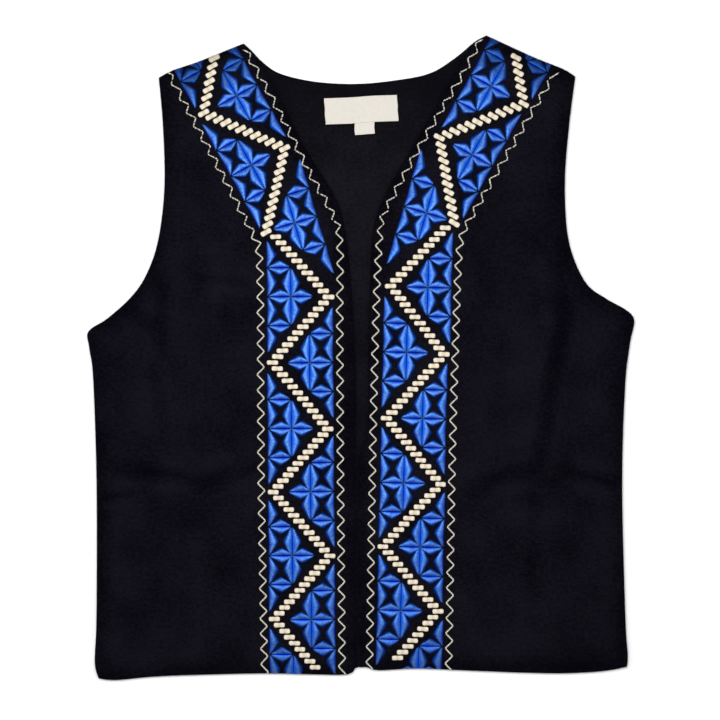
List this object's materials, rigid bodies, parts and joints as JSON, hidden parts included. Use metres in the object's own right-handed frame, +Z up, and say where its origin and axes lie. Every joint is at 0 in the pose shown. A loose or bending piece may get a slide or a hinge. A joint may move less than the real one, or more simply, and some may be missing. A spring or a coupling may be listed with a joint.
{
  "type": "embroidered folk vest",
  "caption": "Child's open-front folk vest laid flat, with a raised cream zigzag in the embroidered band down each front and over each shoulder.",
  "frame": {"origin": "on the surface that the vest lies on, under the middle of its box", "axes": "+Z up from that surface, +Y from the hem to the neck, +X across the vest to the right as seen from above"},
  "size_m": [0.3601, 0.4255, 0.0076],
  "materials": {
    "black_cloth": "matte woven cloth with a short nap",
    "cream_thread": "thick soft thread, slightly glossy",
    "blue_thread": "satin stitch, silky",
    "woven_label": "fine woven tape, bare"
  },
  "bodies": {
    "root": {"back": "black_cloth", "front_left": "black_cloth", "front_right": "black_cloth", "zigzag_left": "cream_thread", "zigzag_right": "cream_thread", "neck_label": "woven_label", "size_label": "woven_label"}
  },
  "joints": []
}
